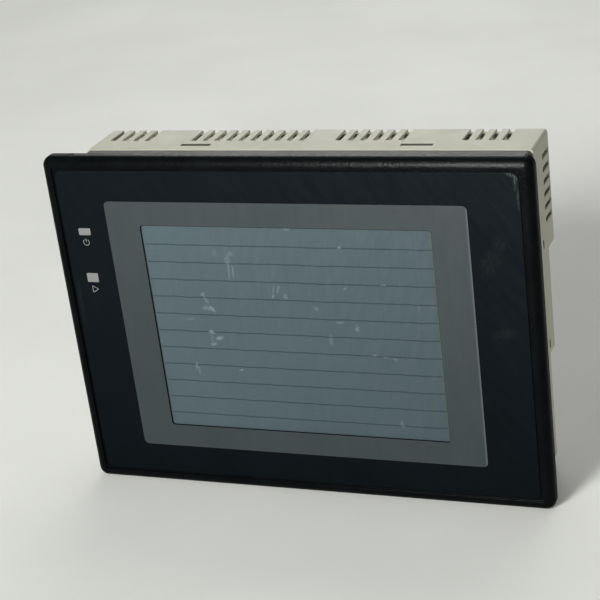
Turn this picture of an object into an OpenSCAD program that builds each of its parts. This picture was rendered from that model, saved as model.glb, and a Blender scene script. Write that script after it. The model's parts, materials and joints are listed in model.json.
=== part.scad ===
// Panel-mounted touch terminal with a small screen.
// X runs to the right as seen from the front, +Y runs backwards into the cabinet, +Z is up.
// The origin is the centre of the flange face that bears on the panel, so the front stands at minus Y.

/* [Front] */
// Width of the front bezel
bezel_w = 195; // [191:1:205]
// Height of the front bezel
bezel_h = 142; // [138:1:150]
// Thickness of the bezel from its flange face to its front
bezel_t = 6; // [5.6:0.1:8]
// Corner radius of the bezel
bezel_r = 4; // [4:0.5:5]
// Width of the rounded rim
rim_w = 4.3; // [3.8:0.1:4.6]
// Radius of the rim's outer edge
rim_round = 3.6; // [2:0.1:3.8]
// Width of the groove between the rim and the overlay
groove_w = 1; // [0.6:0.1:1.4]
// Thickness of the overlay sheet
sheet_t = 0.5; // [0.3:0.1:0.6]
// Corner radius of the overlay sheet
sheet_r = 3.5; // [1:0.5:4]
// Width of the grey surround of the screen
surround_w = 145.4; // [140:0.2:150]
// Height of the grey surround of the screen
surround_h = 106.5; // [102:0.5:110]
// Width of the visible screen
window_w = 117.3; // [112:0.1:119]
// Height of the visible screen
window_h = 87.2; // [82:0.1:89]

/* [Case] */
// Width of the case that goes through the panel cut-out
case_w = 183; // [183:0.5:184]
// Height of the case that goes through the panel cut-out
case_h = 130; // [130:0.5:131]
// How far the rear case stands proud of the front case
lip = 0.3; // [0.2:0.05:0.5]
// Corner radius of the rear case
case_r = 1.3; // [1:0.1:2.5]
// Wall thickness of the case
wall = 2.2; // [2:0.1:2.4]
// Depth from the flange to the joint between front case and rear case
joint_y = 21.5; // [21.4:0.1:21.8]
// Depth from the flange to the back of the upper part
upper_y = 45.5; // [45.5:0.5:46.5]
// Depth from the flange to the back of the middle part
middle_y = 36; // [36:0.5:37]
// Depth from the flange to the back of the lower part
lower_y = 28; // [28:0.5:29]
// Height of the two steps above and below the middle line
step_z = 20.5; // [20:0.5:21]

/* [Cooling slots] */
// Width of a cooling slot
vent_w = 2.2; // [1.5:0.1:2.6]
// Pitch of the slots in the top
vent_pitch = 5.14; // [5:0.02:5.2]
// Depth from the flange to the front end of the slots
vent_y = 32.5; // [30:0.5:38]

/* [Connections] */
// Distance of each serial port from the middle
port_x = 18.3; // [17:0.1:19]
// Distance between the two jack screws of a port
jack_pitch = 24.99; // [24.9:0.01:25.1]
// Number of power terminals
poles = 4; // [3:1:4]
// Pitch of the power terminals
pole_pitch = 8; // [8:0.1:8.4]
// Number of levers on the setting switch
levers = 6; // [2:1:6]

/* [Hidden] */
$fn = 48;
eps = 0.01;
gap = 0.3;          // clearance of the pieces that move
far = 200;          // longer than any cut needs
seat_y = -5.1;      // face that the overlay is bonded to
sheet_y = seat_y - sheet_t;
surround_y = sheet_y - 0.3;
plate_y = -3.4;     // back of the bezel's inner plate, where the front case starts
sheet_w = bezel_w - 2 * (rim_w + groove_w);
sheet_h = bezel_h - 2 * (rim_w + groove_w);
front_w = case_w - 2 * lip;
front_h = case_h - 2 * lip;
front_r = 2;        // corner radius of the front case

// gasket channel in the flange face
gasket_out = 1.6;   // from the bezel's edge to the channel
gasket_in = 4.2;    // from the bezel's edge to the channel's inner side
gasket_d = 1.6;

// touch panel and screen module
touch_w = 126;
touch_h = 96;
module_w = 141;
module_h = 105;
module_y0 = -2.5;
module_y1 = 5.4;

// indicator windows: x, z, width, height
power_at = [-83.3, 40.3, 5.2, 2.9];
run_at = [-83.3, 20.7, 5.0, 3.9];

// boards
board_y = 18;
board_t = 1.6;
board_back = board_y + board_t;
post_x = 75;
post_z = 49;
screw_x = 84.5;
screw_z = 57.5;
screw_seat = 23.5;

// connector bay under the middle of the case
bay_w = 74;
bay_z = -44;
bay_y = 23.5;
bay_back = 38;
hood_z = -16;       // top of the raised hood over the serial ports
port_y = 31.5;
port_face = bay_z - 0.8;

// battery compartment
cell_x = 43;
cell_z = 44;
cell_y = 35;
cell_r = 8.2;
cell_l = 33;
lid_w = 43.4;
lid_z0 = 32.3;
lid_z1 = 55.5;
lid_space_z = 56.2; // top of the space that the lid turns in
lid_pin = [cell_x, 44.4, 54.6];
lid_pin_r = 0.8;

// slots for the clamping brackets, in the top and the underside and in the sides
bracket_x = 45.7;
bracket_w = 12.6;
bracket_t = 2.4;
bracket_top_y = 27.3;
bracket_low_y = 25.2;
side_slot_y = 28.4;
side_slot_t = 1.5;
side_slot_h = 3.5;

// expansion compartment
exp_x = -24;
exp_z = 40;
exp_w = 40;
exp_h = 20;

// power terminals
term_x = 67;
term_z0 = -54;
term_z1 = -36;
term_w = poles * pole_pitch + 1.4;
term_top = lower_y + 10.5;
hinge = [term_x, lower_y + 8.5, -33.5];
hinge_r = 1.2;

// setting switch and reset button on the middle part
dip_x = 26;
dip_z = 2;
dip_pitch = 2.54;
dip_top = middle_y - 2.2;
reset_x = 54;
reset_z = 2;

// ---------- shapes that repeat ----------

// Rectangle with round corners, drawn flat
module rounded(w, h, r) {
    square([w - 2 * r, h], center = true);
    square([w, h - 2 * r], center = true);
    for (sx = [-1, 1], sy = [-1, 1])
        translate([sx * (w / 2 - r), sy * (h / 2 - r)]) circle(r);
}

// Upright slab with round corners from depth y0 to depth y1
module slab(w, h, r, y0, y1, x = 0, z = 0) {
    translate([x, y1, z]) rotate([90, 0, 0]) linear_extrude(y1 - y0) rounded(w, h, r);
}

// Box between two corners
module box(lo, hi) {
    translate(lo) cube(hi - lo);
}

// Rod along Y
module rod_y(r, y0, y1, x, z) {
    translate([x, y0, z]) rotate([-90, 0, 0]) cylinder(r = r, h = y1 - y0);
}

// Rod along X
module rod_x(r, x0, x1, y, z) {
    translate([x0, y, z]) rotate([0, 90, 0]) cylinder(r = r, h = x1 - x0);
}

// Pan-head screw along Y whose head sits at depth y and whose shank runs forwards
module pan_screw(x, z, y, head_r, head_h, shank_r, shank_l) {
    difference() {
        union() {
            rod_y(head_r, y, y + head_h, x, z);
            rod_y(shank_r, y - shank_l, y, x, z);
        }
        for (a = [0, 90])
            translate([x, y + head_h, z]) rotate([0, a, 0]) cube([head_r * 1.3, head_h, 0.7], center = true);
    }
}

// Section swept round the bezel: x is outwards from the corner centres, y is towards the front
module swept(w, h, r) {
    rotate([90, 0, 0]) {
        for (i = [0 : 3]) {
            sx = (i == 0 || i == 3) ? 1 : -1;
            sy = i < 2 ? 1 : -1;
            translate([sx * (w / 2 - r), sy * (h / 2 - r), 0]) rotate([0, 0, 90 * i])
                rotate_extrude(angle = 90) intersection() {
                    children();
                    translate([0, -10]) square([20, 20]);
                }
        }
        for (side = [0, 180]) {
            rotate([0, 0, side]) translate([w / 2 - r, h / 2 - r, 0]) rotate([90, 0, 0])
                linear_extrude(h - 2 * r) children();
            rotate([0, 0, side]) translate([-w / 2 + r, h / 2 - r, 0]) rotate([90, 0, 90])
                linear_extrude(w - 2 * r) children();
        }
    }
}

// D-shaped outline of a serial port: the side towards plus Y is the narrow one
module d_outline(w, h, r) {
    a = w / 2 - r;
    b = h / 2 - r;
    narrow = a - 2 * b * tan(10);
    corners = [[narrow, b, 10, 90], [-narrow, b, 90, 170], [-a, -b, 170, 270], [a, -b, 270, 370]];
    polygon([for (c = corners, i = [0 : 5])
        let (t = c[2] + (c[3] - c[2]) * i / 5) [c[0] + r * cos(t), c[1] + r * sin(t)]]);
}

// ---------- front ----------

module front_bezel() color([0.07, 0.08, 0.09]) difference() {
    union() {
        swept(bezel_w, bezel_h, bezel_r) rim_section();
        slab(bezel_w - 2 * rim_w + 1, bezel_h - 2 * rim_w + 1, 1, seat_y, 0);
    }
    slab(touch_w + 1, touch_h + 1, 1.5, -bezel_t, 0);
    slab(front_w + 0.2, front_h + 0.2, front_r + 0.1, plate_y, 1);
    gasket_ring(0);
    indicator_hole(power_at);
    indicator_hole(run_at);
    // small moulding pocket in the top edge
    box([-87, -1.5, bezel_h / 2 - 0.8], [-84.5, -0.4, bezel_h / 2 + 1]);
}

module rim_section() {
    inner = bezel_r - rim_w;
    intersection() {
        translate([bezel_r - rim_round, bezel_t - rim_round]) circle(rim_round);
        translate([inner, 0]) square([rim_w, bezel_t]);
    }
    translate([inner, 0]) square([rim_w, bezel_t - rim_round]);
    translate([inner, 0]) square([rim_w - rim_round, bezel_t]);
}

module gasket_ring(inset) {
    difference() {
        slab(bezel_w - 2 * (gasket_out + inset), bezel_h - 2 * (gasket_out + inset), 2.4, -gasket_d, 0.6);
        slab(bezel_w - 2 * (gasket_in - inset), bezel_h - 2 * (gasket_in - inset), 0.5, -far, far);
    }
}

module indicator_hole(at) {
    box([at[0] - at[2] / 2 - 0.05, -far, at[1] - at[3] / 2 - 0.05],
        [at[0] + at[2] / 2 + 0.05, 0, at[1] + at[3] / 2 + 0.05]);
}

module front_sheet() color([0.09, 0.11, 0.13]) difference() {
    slab(sheet_w, sheet_h, sheet_r, sheet_y, seat_y);
    slab(window_w, window_h, 1.2, -far, far);
    indicator_hole(power_at);
    indicator_hole(run_at);
}

module screen_surround() color([0.29, 0.33, 0.34]) difference() {
    slab(surround_w, surround_h, 2, surround_y, sheet_y);
    slab(window_w, window_h, 1.2, -far, far);
}

module indicator_window(at) {
    slab(at[2], at[3], 0.5, sheet_y - 0.1, -1.2, at[0], at[1]);
}

module power_window() color([0.78, 0.78, 0.74]) indicator_window(power_at);

module run_window() color([0.78, 0.78, 0.74]) indicator_window(run_at);

module panel_gasket() color([0.15, 0.15, 0.15]) gasket_ring(0.05);

module touch_panel() color([0.38, 0.45, 0.47]) slab(touch_w, touch_h, 1, seat_y, seat_y + 1.7);

// flexible tail from the back of the touch panel to the main board
module touch_tail() color([0.7, 0.5, 0.2]) {
    x0 = 58;
    x1 = 72.7;
    t = 0.25;
    translate([0, 0, -24]) linear_extrude(16)
        polygon([[x0, -3.3], [x1, -3.3], [x1, board_y], [x1 - t, board_y], [x1 - t, -3.3 + t], [x0, -3.3 + t]]);
}

// ---------- screen module ----------

module lcd_frame() color([0.6, 0.61, 0.62]) difference() {
    slab(module_w, module_h, 1.5, module_y0, module_y1);
    slab(module_w - 1.6, module_h - 1.6, 1, module_y0 + 0.8, far);
    slab(120.5, 90.5, 1, -far, 0);
}

module lcd_glass() color([0.33, 0.4, 0.41])
    slab(module_w - 2, module_h - 2, 0.8, module_y0 + 0.85, module_y0 + 2.65);

module light_guide() color([0.85, 0.88, 0.9])
    slab(136, 96, 0.8, module_y0 + 2.7, module_y1 - 0.8, 0, 2.2);

lamp_y = 2.4;
lamp_z = -48.6;
lamp_r = 1.3;

module backlight_lamp() color([0.95, 0.95, 0.92]) rod_x(lamp_r, -66.5, 66.5, lamp_y, lamp_z);

module lamp_holders() color([0.2, 0.2, 0.2])
    for (s = [-1, 1]) difference() {
        translate([s * 65.5, lamp_y, lamp_z]) cube([5, 4, 4], center = true);
        rod_x(lamp_r + 0.02, s * 65.5 - 2.5 - eps, s * 65.5 + 2.5 + eps, lamp_y, lamp_z);
    }

module lcd_board() color([0.08, 0.35, 0.2]) union() {
    slab(134, 94, 1, module_y1 + 0.1, module_y1 + 1.3);
    for (x = [-45 : 30 : 45]) slab(16, 6, 0.4, module_y1 + 1.3, module_y1 + 2.8, x, 34);
}

// flat cable from the screen module round the lower edge of the shield to the main board
module lcd_cable() color([0.75, 0.75, 0.72]) {
    y0 = module_y1 + 1.3;
    t = 0.4;
    translate([-12, 0, 0]) rotate([90, 0, 90]) linear_extrude(24) polygon([
        [y0, -40], [y0, -52], [board_y, -52], [board_y, -44], [board_y - t, -44],
        [board_y - t, -52 + t], [y0 + t, -52 + t], [y0 + t, -40]
    ]);
}

// ---------- casing ----------

module front_case() color([0.33, 0.34, 0.33]) difference() {
    union() {
        difference() {
            slab(front_w, front_h, front_r, plate_y, joint_y);
            slab(case_w - 2 * wall, case_h - 2 * wall, 1.2, plate_y + 2, joint_y + 1);
        }
        for (sx = [-1, 1], sz = [-1, 1])
            rod_y(4, plate_y + 1, joint_y, sx * screw_x, sz * screw_z);
        // stiffening ribs beside the screen opening
        for (sx = [-1, 1], z = [-34, 8, 36])
            box([sx > 0 ? 79 : -90, plate_y + 1, z], [sx > 0 ? 90 : -79, 1.5, z + 1.2]);
    }
    slab(module_w + 1, module_h + 1, 1.8, -far, far);
    box([module_w / 2 - 1, -far, -26], [module_w / 2 + 4, 0, -6]);
    indicator_hole(power_at);
    indicator_hole(run_at);
    for (sx = [-1, 1], sz = [-1, 1])
        rod_y(1.52, 8, joint_y + 1, sx * screw_x, sz * screw_z);
}

// outline of the stepped case at a given inset from its outer faces
module case_steps(inset) {
    z_top = case_h / 2 - inset;
    intersection() {
        slab(case_w - 2 * inset, case_h - 2 * inset, case_r - inset * 0.3, joint_y, far / 2);
        union() {
            box([-far, 0, -z_top], [far, lower_y - inset, z_top]);
            box([-far, 0, -step_z + inset], [far, middle_y - inset, z_top]);
            box([-far, 0, step_z + inset], [far, upper_y - inset, z_top]);
            // connector housing in the middle of the lower part
            box([-bay_w / 2 - wall + inset, 0, bay_z + inset],
                [bay_w / 2 + wall - inset, bay_back - inset, hood_z - inset]);
        }
    }
}

module rear_case() color([0.7, 0.7, 0.65]) difference() {
    union() {
        difference() {
            case_steps(0);
            difference() {
                case_steps(wall);
                // walls and floor of the connector bay
                box([-bay_w / 2 - wall, 0, -far], [bay_w / 2 + wall, far, bay_z + wall]);
            }
        }
        for (sx = [-1, 1]) {
            rod_y(5, joint_y, upper_y - 1, sx * screw_x, screw_z);
            rod_y(5, joint_y, lower_y - 1, sx * screw_x, -screw_z);
        }
        // tub of the battery compartment
        box([21, 25, 32], [65, upper_y - 1, lid_space_z + wall]);
        // tub of the expansion compartment
        box([exp_x - exp_w / 2 - 1.5, 30, exp_z - exp_h / 2 - 1.5],
            [exp_x + exp_w / 2 + 1.5, upper_y - 1, exp_z + exp_h / 2 + 1.5]);
    }
    // connector bay, open below and behind
    box([-bay_w / 2, bay_y, -far], [bay_w / 2, far, bay_z]);
    for (s = [-1, 1]) {
        box([s * port_x - 9.5, port_y - 5, bay_z - 1], [s * port_x + 9.5, port_y + 5, bay_z + wall + 1]);
        for (e = [-1, 1])
            translate([s * port_x + e * jack_pitch / 2, port_y, bay_z - 1]) cylinder(r = 1.7, h = wall + 2);
    }
    vents();
    bracket_slots();
    // screw wells
    for (sx = [-1, 1], sz = [-1, 1]) {
        rod_y(3.6, screw_seat, far, sx * screw_x, sz * screw_z);
        rod_y(1.7, joint_y - 1, screw_seat + 1, sx * screw_x, sz * screw_z);
    }
    battery_space();
    // expansion compartment and the slot in its floor
    box([exp_x - exp_w / 2, 31.5, exp_z - exp_h / 2], [exp_x + exp_w / 2, far, exp_z + exp_h / 2]);
    box([exp_x - 17.5, 29, exp_z - 4], [exp_x + 17.5, 32, exp_z + 4]);
    // window of the setting switch and hole of the reset button
    box([dip_x - 4.5, 33, dip_z - 9], [dip_x + 4.5, far, dip_z + 9]);
    rod_y(2.25, 33, far, reset_x, reset_z);
    // opening of the printer connector
    slab(37, 9, 1, 25, far, -67, -42);
    // wire holes under the power terminals
    box([term_x - 14, 25, term_z0 + 3], [term_x + 14, far, term_z0 + 7]);
}

module battery_space() {
    box([cell_x - 20, 26.5, 34], [cell_x + 20, far, 54]);
    box([cell_x - 22, 43.6, 32], [cell_x + 22, far, lid_space_z]);
    box([cell_x - 22, 42.8, 53], [cell_x + 22, far, lid_space_z]);
    rod_x(lid_pin_r + 0.06, cell_x - 23.2, cell_x + 23.2, lid_pin[1], lid_pin[2]);
    // finger notch below the lid
    box([cell_x - 5, 43.6, 30.5], [cell_x + 5, far, 33]);
}

module vents() {
    thin = 1.1;                     // wall left around the slots
    inside = upper_y - wall;
    side_y0 = vent_y + 2;           // front and rear end of the slots in the sides
    side_y1 = upper_y - 1.2;
    for (group = [[-85, 4], [-49, 10], [12.25, 6], [63, 4]]) {
        for (i = [0 : group[1] - 1])
            translate([group[0] + i * vent_pitch, 0, 0])
                box([-vent_w / 2, vent_y, case_h / 2 - thin - 0.1], [vent_w / 2, far, far]);
        box([group[0] - 2, vent_y - 1, case_h / 2 - wall - 0.1],
            [group[0] + (group[1] - 1) * vent_pitch + 2, inside, case_h / 2 - thin]);
    }
    for (s = [-1, 1]) {
        for (i = [0 : 5])
            translate([s * case_w / 2, (side_y0 + side_y1) / 2, 57.25 - 5 * i])
                cube([2 * wall + 0.2, side_y1 - side_y0, vent_w - 0.2], center = true);
        translate([s * (case_w / 2 - thin - wall / 2), (vent_y + 1 + inside) / 2, 40])
            cube([wall, inside - vent_y - 1, 20], center = true);
    }
}

module bracket_slots() {
    for (s = [-1, 1]) {
        translate([s * bracket_x, bracket_top_y, case_h / 2])
            cube([bracket_w, bracket_t, 2 * wall + 0.2], center = true);
        translate([s * bracket_x, bracket_low_y, -case_h / 2])
            cube([bracket_w, bracket_t, 2 * wall + 0.2], center = true);
        for (z = [24.9, -16.4])
            translate([s * case_w / 2, side_slot_y, z])
                cube([2 * wall + 0.2, side_slot_t, side_slot_h], center = true);
    }
}

module case_screws() color([0.75, 0.75, 0.76])
    for (sx = [-1, 1], sz = [-1, 1])
        pan_screw(sx * screw_x, sz * screw_z, screw_seat, 3, 2, 1.5, 12);

module battery_cover() color([0.7, 0.7, 0.65]) difference() {
    union() {
        box([cell_x - lid_w / 2, upper_y - 1.6, lid_z0], [cell_x + lid_w / 2, upper_y, lid_z1]);
        rod_x(lid_pin_r, cell_x - 22.8, cell_x + 22.8, lid_pin[1], lid_pin[2]);
    }
    // grip grooves
    for (i = [0 : 2]) box([cell_x - 6, upper_y - 0.5, 34.6 + 1.6 * i], [cell_x + 6, far, 35.4 + 1.6 * i]);
}

module expansion_cover() color([0.7, 0.7, 0.65]) union() {
    slab(exp_w + 5, exp_h + 5, 1.5, upper_y + gap, upper_y + 2.5, exp_x, exp_z);
    for (s = [-1, 1])
        translate([exp_x + s * (exp_w / 2 - gap - 0.7), upper_y - 1.8, exp_z]) cube([1.4, 5, 8], center = true);
}

module rating_label() color([0.8, 0.81, 0.8]) slab(56, 30, 1, middle_y, middle_y + 0.15, -52, 0);

// ---------- boards and what they carry ----------

module shield_plate() color([0.72, 0.73, 0.74]) difference() {
    union() {
        slab(136, 96, 2, 10, 10.8);
        for (sx = [-1, 1], sz = [-1, 1])
            box([sx > 0 ? 60 : -79, 10, sz > 0 ? 42 : -53], [sx > 0 ? 79 : -60, 10.8, sz > 0 ? 53 : -42]);
    }
    for (sx = [-1, 1], sz = [-1, 1]) rod_y(2.55, 9, 12, sx * post_x, sz * post_z);
    box([-13, 9, -60], [13, 12, -46]);
}

module main_board() color([0.05, 0.3, 0.15]) difference() {
    slab(160, 108, 2, board_y, board_back);
    for (sx = [-1, 1], sz = [-1, 1]) rod_y(1.4, 17, 21, sx * post_x, sz * post_z);
}

module board_posts() color([0.8, 0.68, 0.35])
    for (sx = [-1, 1], sz = [-1, 1]) difference() {
        rod_y(2.5, plate_y + 2, board_y, sx * post_x, sz * post_z);
        rod_y(1.27, 8, board_y + 1, sx * post_x, sz * post_z);
    }

module board_screws() color([0.75, 0.75, 0.76])
    for (sx = [-1, 1], sz = [-1, 1])
        pan_screw(sx * post_x, sz * post_z, board_back, 2.4, 1.6, 1.25, 9);

module processor_chip() color([0.08, 0.08, 0.08]) slab(28, 28, 0.6, board_back, board_back + 3, -20, 2);

module heat_sink() color([0.7, 0.71, 0.72]) union() {
    slab(30, 30, 0.6, board_back + 3, board_back + 5, -20, 2);
    for (i = [0 : 6])
        box([-34.5 + 4.5 * i, board_back + 4.5, -12], [-32.5 + 4.5 * i, board_back + 11, 16]);
}

module memory_chips() color([0.08, 0.08, 0.08])
    for (x = [12, 36], z = [-12, 14]) slab(18, 10, 0.5, board_back, board_back + 2.4, x, z);

module transformer() color([0.75, 0.7, 0.35]) union() {
    slab(26, 20, 1, board_back, board_back + 14, -62, 33);
    slab(18, 28, 1, board_back + 2, board_back + 10, -62, 33);
}

module capacitors() color([0.15, 0.2, 0.35])
    for (x = [-76, -64, -52]) rod_y(5, board_back, board_back + 12, x, 2);

module inverter_board() color([0.08, 0.35, 0.2]) slab(15, 34, 1, 24, 25.2, 79.5, 34);

module inverter_coil() color([0.6, 0.3, 0.12]) union() {
    slab(10, 16, 1, 25.2, 33, 79.5, 36);
    slab(12, 3, 0.5, 25.2, 34, 79.5, 36);
}

module buzzer() color([0.1, 0.1, 0.1]) difference() {
    rod_y(6, board_back, board_back + 8, 74, 4);
    rod_y(1, board_back + 5, board_back + 9, 74, 4);
}

module indicator_board() color([0.08, 0.35, 0.2]) slab(9, 36, 1, 3, 4.2, -83.3, 30);

module indicator_lamps() color([0.5, 0.75, 0.4])
    for (at = [power_at, run_at]) union() {
        rod_y(1.3, -1, 3, at[0], at[1]);
        rod_y(1.5, 2, 3, at[0], at[1]);
    }

// ---------- battery ----------

module battery() color([0.25, 0.45, 0.65]) union() {
    rod_x(cell_r, cell_x - cell_l / 2, cell_x + cell_l / 2, cell_y, cell_z);
    rod_x(2.6, cell_x + cell_l / 2 - 1, cell_x + cell_l / 2 + 0.8, cell_y, cell_z);
}

module battery_contacts() color([0.8, 0.8, 0.78])
    for (s = [-1, 1]) {
        x = cell_x + s * (cell_l / 2 + 2);
        box([x - 0.3, 26.6, cell_z - 5], [x + 0.3, 40, cell_z + 5]);
        box([min(x, x - s * 5), 26.55, cell_z - 5], [max(x, x - s * 5), 26.75, cell_z + 5]);
    }

// ---------- expansion connector ----------

module expansion_connector() color([0.85, 0.83, 0.75]) difference() {
    slab(34, 7, 0.5, board_back, 38, exp_x, exp_z);
    for (i = [0 : 15], s = [-1, 1])
        translate([exp_x - 15 + 2 * i, 38, exp_z + s * 1.3]) cube([0.8, 6, 0.8], center = true);
}

// ---------- power terminals ----------

module terminal_block() color([0.1, 0.1, 0.1]) difference() {
    union() {
        box([term_x - term_w / 2, lower_y, term_z0], [term_x + term_w / 2, lower_y + 5, term_z1]);
        for (i = [0 : poles])
            translate([term_x + (i - poles / 2) * pole_pitch, 0, 0])
                box([-0.7, lower_y + 4, term_z0], [0.7, term_top, term_z1]);
        // wall above the terminals, and the two ears of the hinge
        box([term_x - term_w / 2, lower_y, term_z1 - 1.2], [term_x + term_w / 2, term_top, term_z1]);
        for (s = [-1, 1])
            box([term_x + s * (term_w / 2 - 0.7) - 0.7, lower_y + 4, term_z1 - 1],
                [term_x + s * (term_w / 2 - 0.7) + 0.7, term_top, hinge[2] + 2]);
    }
    rod_x(hinge_r + 0.06, 0, far / 2, hinge[1], hinge[2]);
    for (i = [0 : poles - 1])
        rod_y(1.65, lower_y + 1, far, term_x + (i + 0.5 - poles / 2) * pole_pitch, -43);
}

module terminal_screws() color([0.78, 0.76, 0.7])
    for (i = [0 : poles - 1]) {
        x = term_x + (i + 0.5 - poles / 2) * pole_pitch;
        pan_screw(x, -43, lower_y + 6.2, 2.9, 1.9, 1.6, 5);
        difference() {
            slab(6.2, 7.4, 0.4, lower_y + 5.05, lower_y + 6.15, x, -43);
            rod_y(1.62, 0, far, x, -43);
        }
    }

module terminal_cover() color([0.8, 0.82, 0.82, 0.5]) {
    half = term_w / 2 + gap + 1.2;
    back = lower_y + 5;
    front = term_top + 1.1;
    union() {
        box([term_x - half, front, -57], [term_x + half, front + 1.2, hinge[2] + 2]);
        for (s = [-1, 1]) {
            x = term_x + s * (half - 0.6);
            box([x - 0.6, back, -57], [x + 0.6, front + 1, hinge[2] + 2]);
            rod_x(hinge_r, x - (s > 0 ? 2 : 0), x + (s > 0 ? 0 : 2), hinge[1], hinge[2]);
        }
        // lip to lift it by
        box([term_x - 8, front + 1, -57], [term_x + 8, front + 1.8, -55.6]);
    }
}

// ---------- ports ----------

module port_board() color([0.05, 0.3, 0.15]) slab(bay_w, 18, 1, 23.4, 25, 0, -31.5);

module serial_shell(x) color([0.75, 0.76, 0.77])
    translate([x, port_y, 0]) difference() {
        union() {
            translate([0, 0, port_face]) linear_extrude(-port_face + bay_z) rounded(30.8, 12.5, 1.2);
            translate([0, 0, -50.6]) linear_extrude(5.9) d_outline(16.9, 8.4, 2.2);
            translate([0, 0, bay_z - eps]) linear_extrude(8) square([18, 8.2], center = true);
        }
        translate([0, 0, -51]) linear_extrude(30) d_outline(15.9, 7.4, 1.7);
        for (s = [-1, 1]) translate([s * jack_pitch / 2, 0, -46]) cylinder(r = 1.7, h = 4);
    }

module serial_shell_a() serial_shell(port_x);
module serial_shell_b() serial_shell(-port_x);

module serial_insert(x) color([0.1, 0.1, 0.12])
    translate([x, port_y, 0]) difference() {
        translate([0, 0, -50.2]) linear_extrude(13) d_outline(15.7, 7.2, 1.6);
        for (i = [0 : 4]) translate([(i - 2) * 2.77, -1.42, -51]) cylinder(r = 0.6, h = 6);
        for (i = [0 : 3]) translate([(i - 1.5) * 2.77, 1.42, -51]) cylinder(r = 0.6, h = 6);
    }

module serial_insert_a() serial_insert(port_x);
module serial_insert_b() serial_insert(-port_x);

module jack_screws() color([0.8, 0.8, 0.82])
    for (s = [-1, 1], e = [-1, 1])
        translate([s * port_x + e * jack_pitch / 2, port_y, 0]) difference() {
            union() {
                translate([0, 0, port_face - 5]) cylinder(r = 2.7, h = 5, $fn = 6);
                translate([0, 0, port_face - 1]) cylinder(r = 1.6, h = 5);
            }
            translate([0, 0, port_face - 6]) cylinder(r = 1.42, h = 6);
        }

module printer_shell() color([0.75, 0.76, 0.77])
    difference() {
        union() {
            slab(42, 11.5, 1.5, lower_y, lower_y + 1, -67, -42);
            slab(35.4, 8.2, 1.2, 25.5, lower_y + 6, -67, -42);
        }
        slab(34.4, 7.2, 0.8, 24, far, -67, -42);
    }

module printer_insert() color([0.1, 0.1, 0.12]) difference() {
    union() {
        slab(34.2, 7, 0.8, 22, lower_y + 1, -67, -42);
        slab(30, 2.6, 0.4, lower_y, lower_y + 5, -67, -42);
    }
    for (i = [0 : 17], s = [-1, 1])
        translate([-67 + (i - 8.5) * 1.6, lower_y + 3.2, -42 + s * 1.3]) cube([0.7, 5, 0.4], center = true);
}

// ---------- switches ----------

module switch_board() color([0.05, 0.3, 0.15]) slab(54, 22, 1, 24, 25.6, 40, 2);

module dip_body() color([0.65, 0.15, 0.12]) difference() {
    box([dip_x - 3.6, 25.6, dip_z - 8.2], [dip_x + 3.6, dip_top, dip_z + 8.2]);
    for (i = [0 : levers - 1])
        translate([dip_x, dip_top, dip_z + (i - (levers - 1) / 2) * dip_pitch])
            cube([4.6, 3, 1.8], center = true);
}

module dip_lever(i) color([0.9, 0.9, 0.88])
    translate([dip_x - 1.0, dip_top - 0.3, dip_z + (i - (levers - 1) / 2) * dip_pitch])
        cube([1.4, 1.8, 1.2], center = true);

module dip_lever_1() dip_lever(0);
module dip_lever_2() dip_lever(1);
module dip_lever_3() dip_lever(2);
module dip_lever_4() dip_lever(3);
module dip_lever_5() dip_lever(4);
module dip_lever_6() dip_lever(5);

module reset_switch() color([0.15, 0.15, 0.15]) slab(6.2, 6.2, 0.4, 25.6, 28.6, reset_x, reset_z);

module reset_button() color([0.75, 0.12, 0.1]) union() {
    rod_y(1.9, 30, middle_y - 0.4, reset_x, reset_z);
    rod_y(2.8, 30, 31, reset_x, reset_z);
}

front_bezel();
front_sheet();
screen_surround();
power_window();
run_window();
panel_gasket();
touch_panel();
touch_tail();
lcd_frame();
lcd_glass();
light_guide();
backlight_lamp();
lamp_holders();
lcd_board();
lcd_cable();
front_case();
shield_plate();
main_board();
board_posts();
board_screws();
processor_chip();
heat_sink();
memory_chips();
transformer();
capacitors();
inverter_board();
inverter_coil();
buzzer();
indicator_board();
indicator_lamps();
rear_case();
case_screws();
battery();
battery_contacts();
battery_cover();
expansion_connector();
expansion_cover();
terminal_block();
terminal_screws();
terminal_cover();
port_board();
serial_shell_a();
serial_shell_b();
serial_insert_a();
serial_insert_b();
jack_screws();
printer_shell();
printer_insert();
switch_board();
dip_body();
dip_lever_1();
dip_lever_2();
dip_lever_3();
dip_lever_4();
dip_lever_5();
dip_lever_6();
reset_switch();
reset_button();
rating_label();
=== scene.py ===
"""Looks of a panel-mounted touch terminal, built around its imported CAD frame. Lengths are in metres."""
import json
import math
import random

import bmesh
import bpy
from mathutils import Matrix, Vector

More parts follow.
